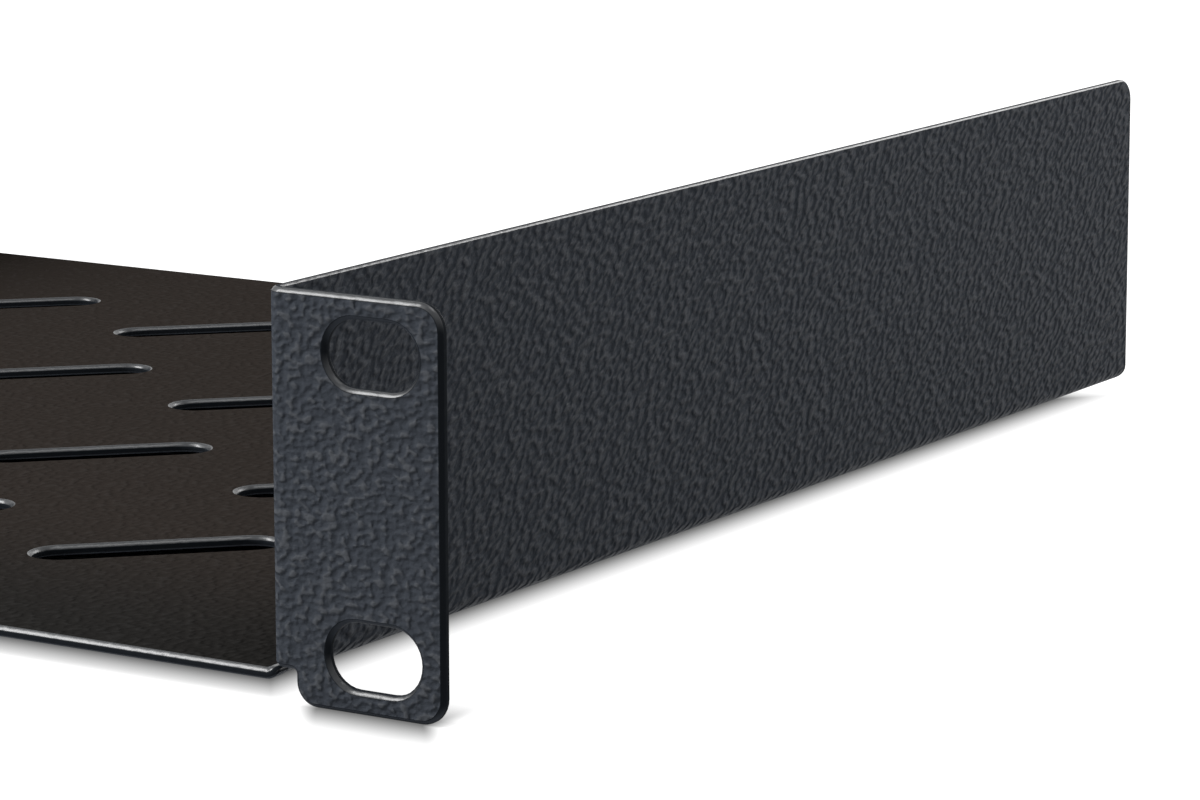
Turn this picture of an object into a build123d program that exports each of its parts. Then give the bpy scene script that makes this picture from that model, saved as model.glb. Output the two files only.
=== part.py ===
from build123d import *
import os

# A one-unit shelf for a ten-inch rack, folded from one sheet of steel.
# The origin is the middle of the four screw slots, on the back of the ears,
# where they meet the rack's rails. X runs across, Y runs back into the rack
# and Z is up.

# The sheet and its folds
sheet = 1.2
tray_bend_inside = 0.6
ear_bend_inside = 0.6

# Overall sizes
panel_width = 254.0
panel_height = 44.0
body_depth = 200.0
ear_reach = 20.75
ear_drop = 2.3

# Slots in the ears for the rack screws. Their middles lie this far in from the
# panel's ends, top and bottom, which puts them 236.525 apart across and 31.75 up.
screw_inset_across = 8.7375
screw_inset_up = 6.125
screw_slot_length = 11.5
screw_slot_height = 7.2

# Rounded corners of the cut sheet
ear_corner = 3.0
ear_foot_corner = 2.5
wall_top_corner = 3.0
wall_rear_corner = 2.0

# The notch that frees the foot of each ear from the tray's fold
notch_reach = 2.0
notch_height = 1.4
notch_corner = 0.5

# Air slots in the tray
vent_length = 29.0
vent_width = 7.0
vent_angle = 45.0
vent_pitch_across = 40.0
vent_pitch_deep = 40.0
vent_columns = 4
vent_rows = 4

# Places that follow from the sizes above
tray_bend_outside = tray_bend_inside + sheet
ear_bend_outside = ear_bend_inside + sheet
ear_top = panel_height / 2
ear_foot = ear_top - panel_height
panel_edge = panel_width / 2
screw_across = panel_edge - screw_inset_across
screw_spacing_up = panel_height - 2 * screw_inset_up
tray_under = ear_foot + ear_drop
wall_height = ear_top - tray_under
wall_outside = panel_edge - ear_reach
wall_inside = wall_outside - sheet
front_face = -sheet
rear_edge = front_face + body_depth
tray_rear_edge = rear_edge - wall_rear_corner
wall_front = front_face + ear_bend_outside
notch_roof = tray_under + notch_height
foot_side = wall_outside + notch_reach
body_middle = (front_face + rear_edge) / 2
low_corner = (Align.MIN, Align.MIN)

# The right ear, with the fold that joins it to the side wall
with BuildPart() as ear:
    # Seen from above: a quarter turn out of the wall, then straight out
    with BuildSketch(Plane.XY.offset(ear_foot)):
        with BuildLine():
            turn = CenterArc((wall_inside + ear_bend_outside, wall_front), ear_bend_outside, 180, 90)
            Line(turn @ 1, (panel_edge, front_face))
            offset(amount=sheet, side=Side.LEFT)
        make_face()
    extrude(amount=panel_height)

    # Seen from the front: rounded corners, the notch beside the tray's fold
    # and two slots for the rack screws
    with BuildSketch(Plane.XZ) as ear_front:
        with Locations((wall_inside, ear_foot)):
            Rectangle(panel_edge - wall_inside, panel_height, align=low_corner)
            Rectangle(foot_side - wall_inside, notch_roof - ear_foot, align=low_corner, mode=Mode.SUBTRACT)
        fillet(ear_front.vertices().group_by(Axis.X)[-1], radius=ear_corner)
        foot = ear_front.vertices().sort_by_distance((foot_side, ear_foot))[0]
        fillet(foot, radius=ear_foot_corner)
        notch_inner = ear_front.vertices().sort_by_distance((foot_side, notch_roof))[0]
        fillet(notch_inner, radius=notch_corner)
        with Locations((screw_across, 0)):
            with GridLocations(0, screw_spacing_up, 1, 2):
                SlotOverall(screw_slot_length, screw_slot_height, mode=Mode.SUBTRACT)
    extrude(amount=body_depth, both=True, mode=Mode.INTERSECT)

with BuildPart() as shelf:
    # The tray and its side walls: one folded section, run back from the front
    with BuildSketch(Plane.XZ.offset(-front_face)):
        with BuildLine():
            FilletPolyline(
                (-wall_outside, ear_top),
                (-wall_outside, tray_under),
                (wall_outside, tray_under),
                (wall_outside, ear_top),
                radius=tray_bend_outside,
            )
            offset(amount=sheet, side=Side.LEFT)
        make_face()
    extrude(amount=-body_depth)

    # Seen from the side: both rear corners of the walls are rounded
    with BuildSketch(Plane.YZ) as wall_side:
        with Locations((front_face, tray_under)):
            Rectangle(body_depth, wall_height, align=low_corner)
        rear_low = wall_side.vertices().sort_by_distance((rear_edge, tray_under))[0]
        fillet(rear_low, radius=wall_rear_corner)
        rear_top = wall_side.vertices().sort_by_distance((rear_edge, ear_top))[0]
        fillet(rear_top, radius=wall_top_corner)
    extrude(amount=wall_outside, both=True, mode=Mode.INTERSECT)

    # The tray stops short of the walls, where their lower round begins
    with BuildSketch(Plane.XY.offset(tray_under)):
        with Locations((0, tray_rear_edge)):
            Rectangle(2 * wall_inside, wall_rear_corner, align=(Align.CENTER, Align.MIN))
    extrude(amount=tray_bend_outside, mode=Mode.SUBTRACT)

    # Above the notch each wall gives way to the fold of its ear
    with BuildSketch(Plane.XY.offset(notch_roof)):
        with Locations((0, (front_face + wall_front) / 2)):
            with GridLocations(wall_inside + wall_outside, 0, 2, 1):
                Rectangle(sheet, ear_bend_outside)
    extrude(amount=ear_top - notch_roof, mode=Mode.SUBTRACT)

    add(ear.part)
    mirror(ear.part, about=Plane.YZ)

    # Slanted air slots through the tray
    with BuildSketch(Plane.XY.offset(tray_under)):
        with Locations((0, body_middle)):
            with GridLocations(vent_pitch_across, vent_pitch_deep, vent_columns, vent_rows):
                SlotOverall(vent_length, vent_width, rotation=vent_angle)
    extrude(amount=sheet, mode=Mode.SUBTRACT)

shelf.part.label = "shelf"

os.makedirs("parts", exist_ok=True)
export_step(shelf.part, "parts/shelf.step")
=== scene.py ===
"""A one-unit shelf for a ten-inch rack, folded from one sheet of coated steel.

The shelf is made the way a sheet metal shop makes it. A flat blank is cut with its
slots and its eased edges, and then folded: first each ear, then each side wall.
"""

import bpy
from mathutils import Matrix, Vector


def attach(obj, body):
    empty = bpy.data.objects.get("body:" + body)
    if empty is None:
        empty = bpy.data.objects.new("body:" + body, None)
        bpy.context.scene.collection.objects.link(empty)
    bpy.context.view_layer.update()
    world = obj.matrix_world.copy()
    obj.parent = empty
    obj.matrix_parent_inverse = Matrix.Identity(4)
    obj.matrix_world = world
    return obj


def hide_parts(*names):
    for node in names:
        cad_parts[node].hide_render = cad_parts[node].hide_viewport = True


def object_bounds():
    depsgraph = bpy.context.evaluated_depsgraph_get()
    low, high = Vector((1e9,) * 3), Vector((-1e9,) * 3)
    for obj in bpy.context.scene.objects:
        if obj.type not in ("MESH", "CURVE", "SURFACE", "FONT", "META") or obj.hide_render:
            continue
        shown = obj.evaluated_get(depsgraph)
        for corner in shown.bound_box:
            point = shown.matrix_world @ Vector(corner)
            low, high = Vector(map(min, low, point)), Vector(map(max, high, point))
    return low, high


bl_info = {
    "name": "Rack Shelf",
    "version": (1, 0, 0),
    "blender": (4, 5, 0),
    "location": "3D Viewport > Sidebar > Rack Shelf",
    "description": "Folds a coated steel rack shelf from its flat blank and sets it on a plain stage",
    "category": "Add Mesh",
}

import math

import bmesh
import bpy
import numpy as np
from bpy.props import FloatProperty, FloatVectorProperty, IntProperty, PointerProperty
from bpy.types import Operator, Panel, PropertyGroup
from mathutils import Matrix, Vector
from mathutils.geometry import delaunay_2d_cdt
from mathutils.kdtree import KDTree

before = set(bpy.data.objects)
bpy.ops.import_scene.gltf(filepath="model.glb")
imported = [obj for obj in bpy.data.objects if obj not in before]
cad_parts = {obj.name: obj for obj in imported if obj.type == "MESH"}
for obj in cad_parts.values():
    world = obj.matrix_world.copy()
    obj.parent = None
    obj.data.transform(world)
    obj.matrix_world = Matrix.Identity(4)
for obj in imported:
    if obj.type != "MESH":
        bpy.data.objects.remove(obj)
CAD_LOW, CAD_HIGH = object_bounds()

MM = 0.001

WHITE = (1, 1, 1, 1)
BLACK = (0, 0, 0, 1)

# The shelf's material slots
COAT, EASED_EDGE, CUT_EDGE, TRAY = range(4)

# Differences below these come from rounding: in a count of cells, in the place
# of two mesh points, and in the line of a straight edge
SAME_COUNT = 1e-6
SAME_POINT = 1e-7
SAME_LINE = 1e-9


def length(name, description, default):
    """A size of the shelf or the stage, in metres."""
    return FloatProperty(
        name=name, description=description, default=default,
        min=0, precision=4, subtype="DISTANCE", unit="LENGTH",
    )


def turn(name, description, degrees):
    """An angle, kept in radians."""
    return FloatProperty(
        name=name, description=description, default=math.radians(degrees), subtype="ANGLE", unit="ROTATION"
    )


def colour(name, description, default):
    """A colour, in linear red, green and blue."""
    return FloatVectorProperty(
        name=name, description=description, default=default, min=0, max=1, size=3, subtype="COLOR"
    )


def power(name, description, watts):
    """The power of a lamp."""
    return FloatProperty(name=name, description=description, default=watts, min=0, unit="POWER")


def count(name, description, default, fewest):
    """How many there are of something."""
    return IntProperty(name=name, description=description, default=default, min=fewest)


class ShelfSizes(PropertyGroup):
    """What the blank is cut to and where it is folded."""

    sheet: length("Sheet", "Thickness of the steel sheet", 1.2 * MM)
    fold_inside: length("Fold Inside", "Radius on the inner side of each fold", 0.6 * MM)
    edge_ease: length("Edge Ease", "Ease of the cut edges on the blank's upper side", 0.5 * MM)
    back_ease: length("Back Ease", "Ease of the cut edges on the blank's under side", 0.24 * MM)

    panel_width: length("Panel Width", "Width over both ears", CAD_HIGH.x - CAD_LOW.x)
    panel_height: length("Panel Height", "Height of the ears", CAD_HIGH.z - CAD_LOW.z)
    body_depth: length("Body Depth", "From the ears' front to the walls' rear", CAD_HIGH.y - CAD_LOW.y)
    ear_reach: length("Ear Reach", "How far each ear stands out from its wall", 20.75 * MM)
    ear_drop: length("Ear Drop", "How far the ears reach below the tray", 2.3 * MM)

    screw_inset_across: length("Screw Inset Across", "From the panel's end to a slot's middle", 8.7375 * MM)
    screw_inset_up: length("Screw Inset Up", "From the ear's top or foot to a slot's middle", 6.125 * MM)
    screw_slot_length: length("Screw Slot Length", "Length of each slot for a rack screw", 11.5 * MM)
    screw_slot_height: length("Screw Slot Height", "Height of each slot for a rack screw", 7.2 * MM)

    ear_corner: length("Ear Corner", "Radius of the ears' outer corners", 3.0 * MM)
    ear_foot_corner: length("Ear Foot Corner", "Radius of the ears' inner corner at the foot", 2.5 * MM)
    wall_top_corner: length("Wall Top Corner", "Radius of the walls' upper rear corner", 3.0 * MM)
    wall_rear_corner: length("Wall Rear Corner", "Radius of the walls' lower rear corner", 2.0 * MM)

    notch_reach: length("Notch Reach", "From the wall to the ear's foot", 2.0 * MM)
    notch_height: length("Notch Height", "Height of the notch over the tray's underside", 1.4 * MM)
    notch_corner: length("Notch Corner", "Radius inside the notch", 0.5 * MM)
    tear: length("Tear", "Width of the cut that parts the ear's fold from the tray's fold", 0.12 * MM)

    vent_length: length("Vent Length", "Length of each air slot in the tray", 29.0 * MM)
    vent_width: length("Vent Width", "Width of each air slot in the tray", 7.0 * MM)
    vent_angle: turn("Vent Angle", "Slant of the air slots", 45.0)
    vent_pitch: length("Vent Pitch", "Distance from one air slot to the next, both ways", 40.0 * MM)
    vent_columns: count("Vent Columns", "Air slots across the tray", 4, 0)
    vent_rows: count("Vent Rows", "Air slots from front to back", 4, 0)

    mesh_step: length("Mesh Step", "Widest mesh cell on the flat faces", 5.0 * MM)
    rim_step: length("Rim Step", "Longest mesh edge along a slot", 1.0 * MM)
    fold_cuts: count("Fold Cuts", "Mesh cells round each fold", 8, 2)
    round_cuts: count("Round Cuts", "Mesh cells round each eased edge", 4, 1)
    corner_cuts: count("Corner Cuts", "Mesh cells round each corner of the blank", 8, 2)


class ShelfFinish(PropertyGroup):
    """The powder coat's colours and grain, with a darker colour painted as shade on the cut edges."""

    coat: colour("Coat", "Bluish black of the powder coat", (0.0405, 0.0460, 0.0560))
    # Painted shade: a darker colour given to the cut edges so that they look shaded.
    edge: colour("Edge", "Darker coat on the cut edges", (0.010, 0.012, 0.015))
    # Colours given to the upper side of the tray: a warmer black, and a darker one at the front.
    tray_coat: colour("Tray Coat", "Warmer black of the coat inside the tray", (0.0253, 0.0211, 0.0186))
    tray_front: colour("Tray Front", "Coat at the front of the tray", (0.0163, 0.0156, 0.0148))
    grain: length("Grain", "Height of one bump of the coat on a wall", 0.58 * MM)
    grain_shape: FloatVectorProperty(
        name="Grain Shape", description="How close the bumps are across, deep and up",
        default=(0.64, 0.66, 0.95), min=0,
    )
    grain_stretch: FloatProperty(
        name="Grain Stretch", description="How much longer the bumps are along their slant",
        default=0.38, min=0, max=0.9, subtype="FACTOR",
    )
    grain_height: length("Grain Height", "How far the coat's bumps stand out", 0.46 * MM)
    ear_relief: FloatProperty(
        name="Ear Relief", description="Height of the bumps on the ears, as a share of the walls'",
        default=0.75, min=0, max=1, subtype="FACTOR",
    )


class StageSetup(PropertyGroup):
    """The camera, the floor and the light."""

    azimuth: turn("Azimuth", "How far the camera has gone round to the right", 32.091)
    elevation: turn("Elevation", "How far the camera looks down", 10.958)
    roll: turn("Roll", "Tilt of the camera about its own axis", 0.104)
    distance: length("Distance", "From the camera to the point that it looks at", 561.17 * MM)
    aim_deep: length("Aim Deep", "How far behind the panel that point lies, on the right wall", 61.92 * MM)
    aim_up: FloatProperty(
        name="Aim Up", description="Height of that point over the middle of the ears",
        default=-0.22 * MM, precision=4, subtype="DISTANCE", unit="LENGTH",
    )
    lens: FloatProperty(
        name="Lens", description="Focal length",
        default=147.31, min=1, subtype="DISTANCE_CAMERA", unit="CAMERA",
    )
    floor: colour("Floor", "Pale floor, as it lights the shelf", (0.50, 0.50, 0.50))
    floor_seen: colour("Floor Seen", "The floor's own colour under its white", (0.3, 0.3, 0.3))
    # Width of the shade painted onto the floor round the shelf
    painted_shade_width: length("Shade Width", "How wide the soft shade is round the shelf", 11 * MM)
    floor_size: length("Floor Size", "Side of the floor", 3.0)
    fill: FloatProperty(
        name="Fill", description="Strength of the even light from all round", default=0.12, min=0
    )
    key: power("Key", "Power of the lamp high on the left", 15.0)
    overhead: power("Overhead", "Power of the lamp above", 2.2)
    back: power("Back", "Power of the lamp behind", 3.5)
    front: power("Front", "Power of the lamp in front", 0.8)
    right: power("Right", "Power of the lamp on the right", 0.6)


class Blank:
    """The flat sheet, with its outline, its slots and its folds.

    A place on it is (across, deep). Across starts at the middle of the tray and
    runs out over the fold to the top of the wall, and deep starts at the level
    of the ears' backs and runs to the rear edge. Height starts at the sheet's
    under side, which becomes the outside of the walls and the back of the ears.
    """

    def __init__(self, sizes):
        self.sizes = sizes
        fold_outside = sizes.fold_inside + sizes.sheet
        self.fold_middle = sizes.fold_inside + sizes.sheet / 2
        self.fold_length = self.fold_middle * math.pi / 2

        ear_top = sizes.panel_height / 2
        ear_foot = ear_top - sizes.panel_height
        self.tray_under = ear_foot + sizes.ear_drop
        self.wall_outside = sizes.panel_width / 2 - sizes.ear_reach
        self.front = -sizes.sheet
        self.rear = self.front + sizes.body_depth

        # The fold between tray and wall, and the one between wall and ear
        self.tray_end = self.wall_outside - fold_outside
        self.wall_start = self.tray_end + self.fold_length
        self.fold_top = self.tray_under + fold_outside
        self.wall_front = self.front + fold_outside
        self.ear_start = self.wall_front - self.fold_length

        # Edges of the flap that becomes the wall and its ear
        self.top = self.across_at(ear_top)
        self.foot = self.across_at(ear_foot)
        self.tear = self.across_at(self.tray_under + sizes.notch_height)
        self.foot_side = self.ear_start - (sizes.notch_reach - sizes.fold_inside)
        self.panel_end = self.ear_start - (sizes.ear_reach - sizes.fold_inside)

    def is_tray(self, place):
        """Whether a place on the flat blank is on the tray, up to its folds."""
        return abs(place.x) < self.tray_end and place.y > self.front

    def across_at(self, up):
        """Place on the blank of a height on the wall or the ear."""
        return self.wall_start + up - self.fold_top

    def outline(self):
        """The blank's edge, with the sheet on its left."""
        s = self.sizes
        # Radii of the corner where the tear starts, and of the tight inner corners
        lip = 1.5 * s.edge_ease
        hollow = s.tear / 2
        tray_rear = self.rear - s.wall_rear_corner
        right = [
            (self.tear - hollow, self.front, lip),
            (self.tear - hollow, self.wall_front, hollow),
            (self.tear + hollow, self.wall_front, hollow),
            (self.tear + hollow, self.foot_side, s.notch_corner),
            (self.foot, self.foot_side, s.ear_foot_corner),
            (self.foot, self.panel_end, s.ear_corner),
            (self.top, self.panel_end, s.ear_corner),
            (self.top, self.rear, s.wall_top_corner),
            (self.tray_end, self.rear, s.wall_rear_corner - hollow),
            (self.tray_end, tray_rear, hollow),
        ]
        left = [(-across, deep, radius) for across, deep, radius in reversed(right)]
        return right + left

    def vents(self):
        """The slanted air slots, spread evenly over the tray."""
        s = self.sizes
        middle = (self.front + self.rear) / 2
        for column in range(s.vent_columns):
            across = (column - (s.vent_columns - 1) / 2) * s.vent_pitch
            for row in range(s.vent_rows):
                deep = middle + (row - (s.vent_rows - 1) / 2) * s.vent_pitch
                yield slot(across, deep, s.vent_length, s.vent_width, s.vent_angle)

    def screw_slots(self):
        """Two slots in each ear, for the rack's screws."""
        s = self.sizes
        deep = self.panel_end + s.screw_inset_across
        for edge, inward in ((self.top, -1), (self.foot, 1)):
            across = edge + inward * s.screw_inset_up
            for side in (-1, 1):
                yield slot(side * across, deep, s.screw_slot_length, s.screw_slot_height, math.pi / 2)

    def across_stops(self):
        """Mesh lines from the middle of the tray to the top of the wall."""
        s = self.sizes
        half = mesh_lines(
            (0, self.tray_end, s.mesh_step),
            (self.tray_end, self.wall_start, self.fold_length / s.fold_cuts),
            (self.wall_start, self.top, s.mesh_step),
        )
        return [-stop for stop in reversed(half[1:])] + half

    def deep_stops(self):
        """Mesh lines from the end of the ear to the rear edge."""
        s = self.sizes
        rear_start = self.rear - 2 * s.wall_rear_corner
        return mesh_lines(
            (self.panel_end, self.ear_start, s.mesh_step),
            (self.ear_start, self.wall_front, self.fold_length / s.fold_cuts),
            (self.wall_front, rear_start, s.mesh_step),
            (rear_start, self.rear, s.rim_step / 2),
        )

    def folded(self, point):
        """Where a point of the flat blank lies on the folded shelf."""
        across, deep, height = abs(point.x), point.y, point.z
        side = math.copysign(1, point.x)

        # Folding the ear outwards moves a point along the wall and through it
        in_flap = across > self.tear or deep < (self.front + self.foot_side) / 2
        bent = min(max(self.wall_front - deep, 0), self.fold_length) / self.fold_length
        if in_flap and deep < self.wall_front:
            radius = self.sizes.fold_inside + height
            angle = bent * math.pi / 2
            past = max(self.ear_start - deep, 0)
            deep = self.wall_front - radius * math.sin(angle)
            height = radius * math.cos(angle) - self.sizes.fold_inside - past

        # Folding the wall up stands it on the tray's edge
        straight = Vector((self.wall_outside - height, self.fold_top + across - self.wall_start))
        lies_flat = Vector((across, self.tray_under + height))
        if across >= self.wall_start:
            out, up = straight
        elif in_flap and deep < self.wall_front:
            out, up = self.round_tray_fold(across, height).lerp(straight, bent)
        elif across > self.tray_end:
            out, up = self.round_tray_fold(across, height)
        else:
            out, up = lies_flat
        return Vector((side * out, deep, up))

    def round_tray_fold(self, across, height):
        """A point on the fold between the tray and the wall."""
        angle = (across - self.tray_end) / self.fold_middle
        radius = self.sizes.fold_inside + self.sizes.sheet - height
        return Vector((self.tray_end + radius * math.sin(angle), self.fold_top - radius * math.cos(angle)))


def spread(start, end, step):
    """Evenly spaced stops after start, up to end, no further apart than step."""
    cells = max(1, math.ceil((end - start) / step - SAME_COUNT))
    return [start + (end - start) * i / cells for i in range(1, cells + 1)]


def mesh_lines(*stretches):
    """Stops along stretches that follow each other, each given as (start, end, step)."""
    stops = [stretches[0][0]]
    for stretch in stretches:
        stops += spread(*stretch)
    return stops


def slot(across, deep, long, wide, angle):
    """Corners of a round-ended slot, with the sheet on their left."""
    radius = wide / 2
    spin = Matrix.Rotation(angle, 2)
    middle = Vector((across, deep))
    ends = [(-long, -wide), (-long, wide), (long, wide), (long, -wide)]
    return [(*(middle + spin @ Vector((x / 2, y / 2))), radius) for x, y in ends]


def rounded(corners, stops, rim_step, corner_cuts):
    """A closed loop of (place, inward) pairs round a shape whose corners are rounded.

    Inward is a unit vector that points into the sheet.
    """
    loop = []
    for i, (across, deep, radius) in enumerate(corners):
        corner = Vector((across, deep))
        way_in = (corner - Vector(corners[i - 1][:2])).normalized()
        way_out = (Vector(corners[(i + 1) % len(corners)][:2]) - corner).normalized()
        sweep = way_in.angle_signed(way_out)
        hand = -math.copysign(1, sweep)
        left_in, left_out = way_in.orthogonal(), way_out.orthogonal()
        centre = corner + (left_in + left_out) * (hand * radius / (1 + left_in.dot(left_out)))
        arc = []
        for k in range(corner_cuts + 1):
            inward = Matrix.Rotation(-sweep * k / corner_cuts, 2) @ left_in
            arc.append((centre - hand * radius * inward, inward))
        if loop:
            loop += straight(loop[-1], arc[0], stops, rim_step)
            tiny = rim_step / 1000
            joined = (arc[0][0] - loop[-1][0]).length < tiny
            arc = arc[1:] if joined else arc
        loop += arc
    return loop + straight(loop[-1], loop[0], stops, rim_step)


def straight(start, end, stops, rim_step):
    """Points between two places of a loop, none of them close to either place.

    They lie where the line crosses the mesh lines, or evenly spaced if it is slanted.
    """
    (here, inward), (there, _) = start, end
    way = there - here
    shortest = rim_step / 10
    if way.length < shortest:
        return []
    for axis in (0, 1):
        if abs(way[1 - axis]) < SAME_LINE:
            shares = sorted((stop - here[axis]) / way[axis] for stop in stops[axis])
            nearest = shortest / way.length
            return [(here + way * t, inward) for t in shares if nearest < t < 1 - nearest]
    return [(here + way * t, inward) for t in spread(0, 1, rim_step / way.length)[:-1]]


def rim_section(sheet, front_ease, back_ease, cuts):
    """(inset, height) pairs round a cut edge, from the under side to the upper side.

    Each side of the edge is eased by a curve between a quarter circle and a plain chamfer.
    """
    flatness = 1.5
    quarter = [math.pi / 2 * k / cuts for k in range(cuts + 1)]
    curve = [(1 - math.sin(a) ** flatness, 1 - abs(math.cos(a)) ** flatness) for a in quarter]
    lower = [(back_ease * inset, back_ease * height) for inset, height in curve]
    upper = [(front_ease * inset, sheet - front_ease * height) for inset, height in reversed(curve)]
    return [(front_ease, 0)] + lower + upper


def inner_points(loops, across_stops, deep_stops):
    """Crossings of the mesh lines that aren't too close to any edge."""
    free_share = 0.45
    tree = KDTree(sum(len(loop) for loop in loops))
    for i, point in enumerate(point for loop in loops for point in loop):
        tree.insert((*point, 0), i)
    tree.balance()
    found = []
    for i in range(1, len(across_stops) - 1):
        across = across_stops[i]
        cell_across = min(across_stops[i + 1] - across, across - across_stops[i - 1])
        for j in range(1, len(deep_stops) - 1):
            deep = deep_stops[j]
            cell_deep = min(deep_stops[j + 1] - deep, deep - deep_stops[j - 1])
            room = free_share * min(cell_across, cell_deep)
            if tree.find((across, deep, 0))[2] > room:
                found.append(Vector((across, deep)))
    return found


def on_sheet(points, loops):
    """Which points lie on the sheet. Those have an odd number of edges on their right."""
    across, deep = points.T
    odd = np.zeros(len(points), bool)
    for loop in loops:
        for here, there in zip(loop, loop[1:] + loop[:1]):
            if here.y != there.y:
                crossing = here.x + (deep - here.y) * (there.x - here.x) / (there.y - here.y)
                odd ^= ((here.y > deep) != (there.y > deep)) & (across < crossing)
    return odd


def cut_blank(blank):
    """The flat blank as a closed mesh, with every cut edge eased."""
    s = blank.sizes
    stops = (blank.across_stops(), blank.deep_stops())
    shapes = [blank.outline(), *blank.vents(), *blank.screw_slots()]
    rims = [rounded(shape, stops, s.rim_step, s.corner_cuts) for shape in shapes]
    section = rim_section(s.sheet, s.edge_ease, s.back_ease, s.round_cuts)

    # The upper and the under side share one flat pattern
    loops = [[place + inward * section[0][0] for place, inward in rim] for rim in rims]
    points = [point for loop in loops for point in loop]
    edges = []
    for loop in loops:
        first = len(edges)
        edges += [(first + i, first + (i + 1) % len(loop)) for i in range(len(loop))]
    points += inner_points(loops, *stops)
    places, _, triangles, origins, _, _ = delaunay_2d_cdt(points, edges, [], 0, SAME_POINT)
    middles = np.array([sum((places[i] for i in triangle), Vector((0, 0))) / 3 for triangle in triangles])
    triangles = [triangle for triangle, kept in zip(triangles, on_sheet(middles, loops)) if kept]

    mesh = bmesh.new()
    side_of = {}
    for height in (0, s.sheet):
        made = {}
        for triangle in triangles:
            for i in triangle:
                if i not in made:
                    made[i] = mesh.verts.new((*places[i], height))
            face = mesh.faces.new([made[i] for i in triangle])
            face.material_index = TRAY if height > 0 and blank.is_tray(face.calc_center_median()) else COAT
        side_of[height] = {source: made[i] for i in made for source in origins[i]}

    # A rounded rim joins the two sides all along each edge
    first = 0
    for rim in rims:
        rings = [[side_of[0][first + i] for i in range(len(rim))]]
        for inset, height in section[1:-1]:
            rings.append([mesh.verts.new((*(place + inward * inset), height)) for place, inward in rim])
        rings.append([side_of[s.sheet][first + i] for i in range(len(rim))])
        for band, (ring, above) in enumerate(zip(rings, rings[1:])):
            for i in range(len(rim)):
                face = mesh.faces.new((ring[i - 1], ring[i], above[i], above[i - 1]))
                face.material_index = {0: COAT, s.round_cuts + 1: CUT_EDGE}.get(band, EASED_EDGE)
        first += len(rim)
    return mesh


def fold_blank(mesh, blank):
    """Bends the flat mesh into the shelf."""
    for vertex in mesh.verts:
        vertex.co = blank.folded(vertex.co)
    bmesh.ops.recalc_face_normals(mesh, faces=mesh.faces)
    for face in mesh.faces:
        face.smooth = True


def add_node(tree, kind, settings=None, **inputs):
    """A shader node with its settings and inputs, each input a value or another node's output."""
    node = tree.nodes.new("ShaderNode" + kind)
    for name, value in (settings or {}).items():
        setattr(node, name, value)
    for name, value in inputs.items():
        feed(tree, node.inputs[name.replace("_", " ")], value)
    return node


def feed(tree, socket, value):
    """Sets an input to a value, or links it to another node's output."""
    if isinstance(value, bpy.types.NodeSocket):
        tree.links.new(value, socket)
    else:
        socket.default_value = value


def calculate(tree, operation, *values):
    """The output of a Math node on these values."""
    node = add_node(tree, "Math", {"operation": operation})
    for socket, value in zip(node.inputs, values):
        feed(tree, socket, value)
    return node.outputs["Value"]


def vector_math(tree, operation, first, second):
    """The output of a Vector Math node on two vectors."""
    node = add_node(tree, "VectorMath", {"operation": operation})
    feed(tree, node.inputs[0], first)
    feed(tree, node.inputs[1], second)
    return node.outputs["Value" if operation == "DOT_PRODUCT" else "Vector"]


def fade(tree, value, low, high, start=0.0, end=1.0):
    """Takes value smoothly from start at low to end at high, and holds it beyond them."""
    node = add_node(
        tree, "MapRange", {"interpolation_type": "SMOOTHSTEP"},
        Value=value, From_Min=low, From_Max=high, To_Min=start, To_Max=end,
    )
    return node.outputs["Result"]


def blend_colours(tree, share, first, second):
    """The first colour where share is 0, and the second where it is 1."""
    node = add_node(tree, "Mix", {"data_type": "RGBA"}, Factor=share)
    colours = [socket for socket in node.inputs if socket.type == "RGBA"]
    for socket, value in zip(colours, (first, second)):
        feed(tree, socket, value)
    return next(socket for socket in node.outputs if socket.type == "RGBA")


def object_place(tree, axis):
    """One coordinate of the shaded point, in metres from the origin of its object."""
    place = add_node(tree, "TexCoord").outputs["Object"]
    return add_node(tree, "SeparateXYZ", Vector=place).outputs[axis]


def object_normal(tree, axis):
    """How far the surface faces along an axis, from -1 to 1."""
    normal = add_node(tree, "TexCoord").outputs["Normal"]
    return add_node(tree, "SeparateXYZ", Vector=normal).outputs[axis]


def coat_relief(tree, place, finish):
    """Height of the textured coat, from about 0 in its pits to about 1 on its bumps.

    On the walls the bumps are longer along a slant that rises to the rear.
    """
    slant = Vector((0.0, 0.80, 0.60))
    lowest = 0.22
    highest = 0.86
    finer = 2.6
    fine_share = 0.18

    spread_out = vector_math(tree, "MULTIPLY", place, finish.grain_shape)
    along = vector_math(tree, "DOT_PRODUCT", spread_out, slant)
    pull = add_node(tree, "CombineXYZ")
    for socket, part in zip(pull.inputs, slant):
        feed(tree, socket, calculate(tree, "MULTIPLY", along, -finish.grain_stretch * part))
    stretched = vector_math(tree, "ADD", spread_out, pull.outputs["Vector"])

    bumps = add_node(
        tree, "TexNoise",
        Vector=stretched, Scale=1 / finish.grain, Detail=0.5, Roughness=0.3, Distortion=0.12,
    )
    fine = add_node(tree, "TexNoise", Vector=stretched, Scale=finer / finish.grain, Detail=1.0)
    rounded_bumps = fade(tree, bumps.outputs["Fac"], lowest, highest)
    large = calculate(tree, "MULTIPLY", rounded_bumps, 1 - fine_share)
    return calculate(tree, "MULTIPLY_ADD", fine.outputs["Fac"], fine_share, large)


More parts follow.
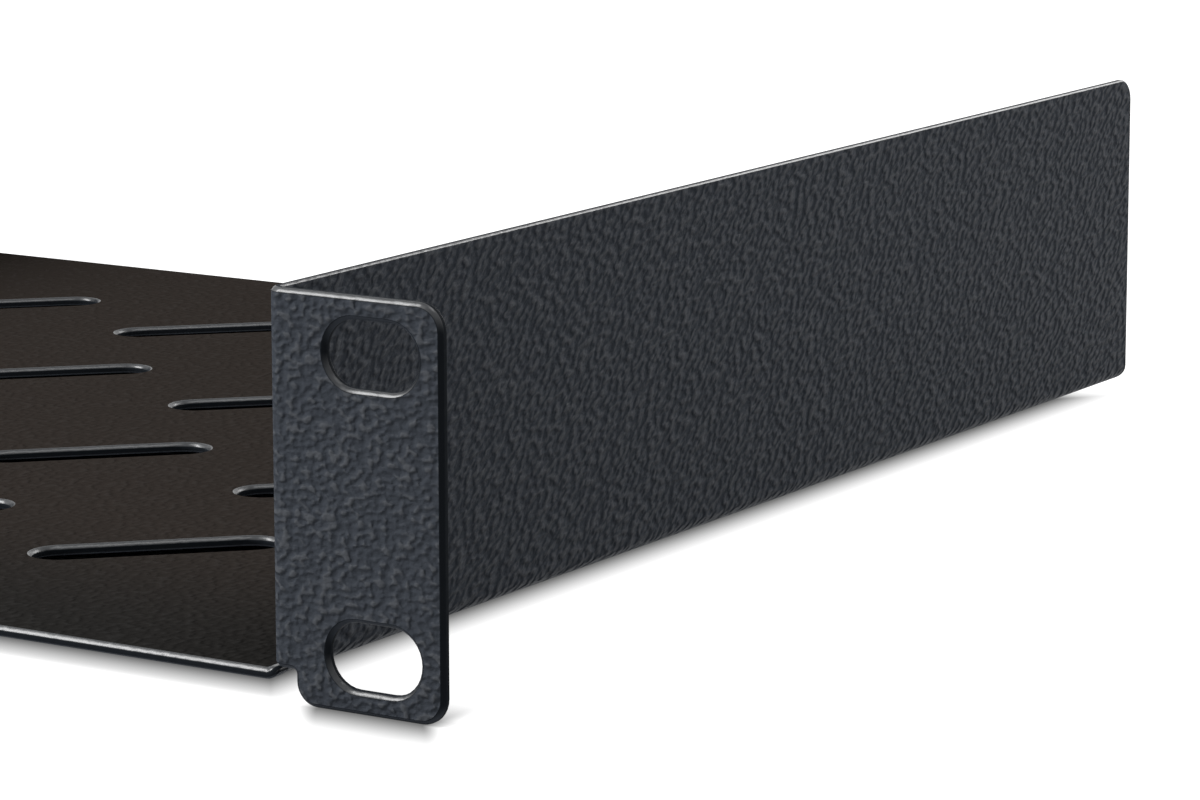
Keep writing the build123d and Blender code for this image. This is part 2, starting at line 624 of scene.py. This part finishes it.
def coat_shader(name, finish, specular, rough, relief_share):
    """A new material with the textured coat's gloss and relief, which is lower on the ears.

    Gives the material, its shader and the relief.
    """
    material = bpy.data.materials.new(name)
    material.use_nodes = True
    tree = material.node_tree
    shader = tree.nodes["Principled BSDF"]
    shader.inputs["Specular IOR Level"].default_value = specular
    shader.inputs["Roughness"].default_value = rough
    relief = coat_relief(tree, add_node(tree, "TexCoord").outputs["Object"], finish)

    # The relief changes over the fold between wall and ear
    still_wall = 0.3
    already_ear = 0.9
    facing = calculate(tree, "ABSOLUTE", object_normal(tree, "Y"))
    ear_share = relief_share * finish.ear_relief
    strength = fade(tree, facing, still_wall, already_ear, relief_share, ear_share)
    bump = add_node(tree, "Bump", Height=relief, Distance=finish.grain_height, Strength=strength)
    feed(tree, shader.inputs["Normal"], bump.outputs["Normal"])
    feed(tree, shader.inputs["Coat Normal"], bump.outputs["Normal"])
    return material, shader, relief


def with_painted_highlight_tops(tree, colour, relief, share):
    """A coat's colour, paler by up to a share on the tops of its bumps: a painted highlight where the bumps
    catch the light.
    """
    starts = 0.5
    full = 0.8
    return blend_colours(tree, fade(tree, relief, starts, full, 0.0, share), colour, WHITE)


def face_material(finish):
    """The coat on the walls, the ears and the under side."""
    material, shader, relief = coat_shader(
        "powder_coat", finish, specular=0.02, rough=0.42, relief_share=1.0
    )
    tree = material.node_tree
    # Painted highlight: the coat is made paler on the tops of its bumps.
    base = with_painted_highlight_tops(tree, (*finish.coat, 1), relief, share=0.03)
    feed(tree, shader.inputs["Base Color"], base)
    return material


def tray_material(finish):
    """The upper side of the tray, in a warmer black that is a little darker at the front."""
    material, shader, relief = coat_shader(
        "tray_coat", finish, specular=0.0, rough=0.9, relief_share=0.55
    )
    tree = material.node_tree
    dark_depth = 50 * MM
    behind = fade(tree, object_place(tree, "Y"), 0.0, dark_depth)
    base = blend_colours(tree, behind, (*finish.tray_front, 1), (*finish.tray_coat, 1))
    # Painted highlight: a faint paleness on the tops of the bumps.
    feed(tree, shader.inputs["Base Color"], with_painted_highlight_tops(tree, base, relief, share=0.004))
    return material


def eased_material(finish):
    """The coat on the eased edges, with a painted shade that makes it darker where it faces sideways or up,
    and a gloss coat that shines where it looks up.
    """
    material, shader, _ = coat_shader(
        "eased_edge", finish, specular=0.02, rough=0.5, relief_share=0.1
    )
    tree = material.node_tree
    up = object_normal(tree, "Z")
    looks_down = -0.6
    looks_sideways = -0.1
    shines_fully = 0.5
    # Painted shade: eased edges that face sideways or up take the darker edge colour, and those that look
    # down keep the coat's colour.
    darker = fade(tree, up, looks_down, looks_sideways)
    base = blend_colours(tree, darker, (*finish.coat, 1), (*finish.edge, 1))
    feed(tree, shader.inputs["Base Color"], base)
    feed(tree, shader.inputs["Coat Weight"], fade(tree, up, 0.0, shines_fully))
    shader.inputs["Coat Roughness"].default_value = 0.34
    return material


def cut_material(finish):
    """The flat middle of the cut edges, in the darker edge colour, a painted shade."""
    material, shader, _ = coat_shader(
        "cut_edge", finish, specular=0.02, rough=0.6, relief_share=0.1
    )
    # Painted shade: the dark edge colour stands in for the shade on the cut faces.
    shader.inputs["Base Color"].default_value = (*finish.edge, 1)
    return material


# One for each of the shelf's material slots, in their order
SLOT_MATERIALS = (face_material, eased_material, cut_material, tray_material)


def floor_material(stage, sizes):
    """A pale floor that the camera sees as white, with a soft shade close to the shelf: under the tray the
    white lift is taken away so that the real shadow shows, and near the shelf's edges and at the ears' feet
    the shade is painted by place.
    """
    material = bpy.data.materials.new("pale_floor")
    material.use_nodes = True
    tree = material.node_tree
    shader = tree.nodes["Principled BSDF"]
    shader.inputs["Roughness"].default_value = 0.9
    shader.inputs["Specular IOR Level"].default_value = 0.0
    shader.inputs["Emission Color"].default_value = WHITE

    across = object_place(tree, "X")
    deep = object_place(tree, "Y")
    off_ears = clear_of_ears(tree, across, deep, stage.painted_shade_width, sizes)
    off_tray = clear_of_tray(tree, across, deep, stage.painted_shade_width, sizes)
    clear = calculate(tree, "MINIMUM", off_ears, off_tray)

    seen = seen_directly(tree)
    # Painted shade: the floor's seen colour goes to black at the ears' feet.
    own = blend_colours(tree, off_ears, BLACK, (*stage.floor_seen, 1))
    feed(tree, shader.inputs["Base Color"], blend_colours(tree, seen, (*stage.floor, 1), own))
    # Painted shade: the white that the camera sees fades out near and under the shelf.
    feed(tree, shader.inputs["Emission Strength"], calculate(tree, "MULTIPLY", seen, clear))
    return material


def clear_of_tray(tree, across, deep, width, sizes):
    """Mask for the floor's shade: 0 on the floor under the tray and 1 off it, with a soft step just inside
    its edges that paints a soft shade.
    """
    wall = sizes.panel_width / 2 - sizes.ear_reach
    rear = sizes.body_depth - sizes.sheet
    darkest_beside = wall - 0.8 * width
    darkest_before = 0.85 * width
    clear_before = -0.25 * width
    beside = fade(tree, calculate(tree, "ABSOLUTE", across), darkest_beside, wall)
    before = fade(tree, deep, clear_before, darkest_before, 1.0, 0.0)
    behind = fade(tree, deep, rear - width, rear)
    return calculate(tree, "MAXIMUM", beside, calculate(tree, "MAXIMUM", before, behind))


def clear_of_ears(tree, across, deep, width, sizes):
    """Mask for the shade painted on the floor at the ears' feet: nearly 0 there and 1 a width away.

    The painted shade falls forwards and slants to the right.
    """
    slant = 0.7
    narrowing = 3.0
    inset = 0.25 * width
    darkest = -0.35 * width
    end = sizes.panel_width / 2 - inset
    foot_side = sizes.panel_width / 2 - sizes.ear_reach + sizes.notch_reach + inset
    in_front = calculate(tree, "MAXIMUM", calculate(tree, "SUBTRACT", -sizes.sheet, deep), 0.0)
    along = calculate(tree, "ABSOLUTE", calculate(tree, "MULTIPLY_ADD", in_front, -slant, across))
    past_end = calculate(tree, "SUBTRACT", along, end)
    short_of_foot = calculate(tree, "SUBTRACT", foot_side, along)
    sideways = calculate(tree, "MAXIMUM", calculate(tree, "MAXIMUM", past_end, short_of_foot), 0.0)
    forwards = calculate(tree, "MAXIMUM", in_front, deep)
    apart = calculate(tree, "POWER", calculate(tree, "MULTIPLY", sideways, narrowing), 2.0)
    distance = calculate(tree, "SQRT", calculate(tree, "MULTIPLY_ADD", forwards, forwards, apart))
    return fade(tree, distance, darkest, width)


def seen_directly(tree):
    """1 for what the camera sees, also in gloss and through glass, and 0 for other light."""
    path = add_node(tree, "LightPath")
    seen = calculate(tree, "MAXIMUM", path.outputs["Is Camera Ray"], path.outputs["Is Glossy Ray"])
    return calculate(tree, "MAXIMUM", seen, path.outputs["Is Transmission Ray"])


def studio_world(stage):
    """Even light from all round, with a white background."""
    world = bpy.data.worlds.new("studio")
    world.use_nodes = True
    tree = world.node_tree
    background = tree.nodes["Background"]
    feed(tree, background.inputs["Color"], WHITE)
    feed(tree, background.inputs["Strength"], fade(tree, seen_directly(tree), 0, 1, stage.fill, 1.0))
    return world


def add_lamp(name, energy, width, height, place, aim):
    """A soft rectangular lamp at a place, turned to light a point."""
    lamp = bpy.data.lights.new(name, "AREA")
    lamp.shape = "RECTANGLE"
    lamp.energy = energy
    lamp.size = width
    lamp.size_y = height
    holder = bpy.data.objects.new(name, lamp)
    holder.location = place
    holder.rotation_euler = (Vector(aim) - Vector(place)).to_track_quat("-Z", "Y").to_euler()
    bpy.context.scene.collection.objects.link(holder)


def add_floor(stage, sizes):
    """The floor that the shelf stands on."""
    mesh = bmesh.new()
    bmesh.ops.create_grid(mesh, x_segments=1, y_segments=1, size=stage.floor_size / 2)
    data = bpy.data.meshes.new("floor")
    mesh.to_mesh(data)
    mesh.free()
    data.materials.append(floor_material(stage, sizes))
    floor = bpy.data.objects.new("floor", data)
    floor.location.z = CAD_LOW.z
    bpy.context.scene.collection.objects.link(floor)


def add_camera(stage, sizes):
    """The camera, turned to a point on the right wall."""
    data = bpy.data.cameras.new("camera")
    data.lens = stage.lens
    data.sensor_width = 36.0
    data.clip_start = 0.01
    data.clip_end = 20.0
    camera = bpy.data.objects.new("camera", data)
    heading = Matrix.Rotation(stage.azimuth, 3, "Z")
    tilt = Matrix.Rotation(math.pi / 2 - stage.elevation, 3, "X")
    roll = Matrix.Rotation(-stage.roll, 3, "Z")
    facing = heading @ tilt @ roll
    wall = sizes.panel_width / 2 - sizes.ear_reach
    aim = Vector((wall, stage.aim_deep, stage.aim_up))
    camera.rotation_euler = facing.to_euler()
    camera.location = aim + facing @ Vector((0, 0, stage.distance))
    bpy.context.scene.collection.objects.link(camera)
    bpy.context.scene.camera = camera


class AddFoldedShelf(Operator):
    """Cut the blank, ease its edges and fold it into the shelf"""

    bl_idname = "mesh.add_folded_rack_shelf"
    bl_label = "Folded Shelf"
    bl_options = {"REGISTER", "UNDO"}

    def execute(self, context):
        blank = Blank(context.scene.shelf_sizes)
        mesh = cut_blank(blank)
        fold_blank(mesh, blank)
        data = bpy.data.meshes.new("folded_shelf")
        mesh.to_mesh(data)
        mesh.free()
        for make in SLOT_MATERIALS:
            data.materials.append(make(context.scene.shelf_finish))
        shelf = bpy.data.objects.new("folded_shelf", data)
        context.collection.objects.link(shelf)
        normals = shelf.modifiers.new("even_shading", "WEIGHTED_NORMAL")
        normals.weight = 100
        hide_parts("shelf")
        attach(shelf, "root")
        return {"FINISHED"}


class AddShelfStage(Operator):
    """Set up the floor, the light and the camera"""

    bl_idname = "scene.add_rack_shelf_stage"
    bl_label = "Stage"
    bl_options = {"REGISTER", "UNDO"}

    def execute(self, context):
        scene = context.scene
        stage = scene.shelf_stage
        scene.view_settings.view_transform = "Standard"
        scene.world = studio_world(stage)
        add_floor(stage, scene.shelf_sizes)
        aim = (0.08, 0.06, 0)
        add_lamp("key", stage.key, width=0.26, height=0.66, place=(-0.60, -0.42, 0.70), aim=aim)
        add_lamp("overhead", stage.overhead, width=0.4, height=0.3, place=(0.36, -0.02, 0.93), aim=aim)
        add_lamp("back", stage.back, width=0.4, height=0.3, place=(0.35, 0.96, 0.50), aim=aim)
        add_lamp("front", stage.front, width=0.3, height=0.3, place=(-0.45, -0.8, 0.35), aim=aim)
        add_lamp("right", stage.right, width=0.4, height=0.4, place=(0.75, 0.6, 0.3), aim=aim)
        add_camera(stage, scene.shelf_sizes)
        return {"FINISHED"}


class RackShelfPanel(Panel):
    """Sizes, finish and stage of the rack shelf"""

    bl_idname = "VIEW3D_PT_rack_shelf"
    bl_label = "Rack Shelf"
    bl_space_type = "VIEW_3D"
    bl_region_type = "UI"
    bl_category = "Rack Shelf"

    def draw(self, context):
        scene = context.scene
        for operator, groups in (
            (AddFoldedShelf, (scene.shelf_sizes, scene.shelf_finish)),
            (AddShelfStage, (scene.shelf_stage,)),
        ):
            self.layout.operator(operator.bl_idname)
            for group in groups:
                for name in group.__annotations__:
                    self.layout.prop(group, name)


CLASSES = (ShelfSizes, ShelfFinish, StageSetup, AddFoldedShelf, AddShelfStage, RackShelfPanel)


def register():
    for cls in CLASSES:
        bpy.utils.register_class(cls)
    bpy.types.Scene.shelf_sizes = PointerProperty(type=ShelfSizes)
    bpy.types.Scene.shelf_finish = PointerProperty(type=ShelfFinish)
    bpy.types.Scene.shelf_stage = PointerProperty(type=StageSetup)


def unregister():
    del bpy.types.Scene.shelf_stage
    del bpy.types.Scene.shelf_finish
    del bpy.types.Scene.shelf_sizes
    for cls in reversed(CLASSES):
        bpy.utils.unregister_class(cls)


def main():
    register()
    bpy.ops.mesh.add_folded_rack_shelf()
    bpy.ops.scene.add_rack_shelf_stage()


if __name__ == "__main__":
    main()
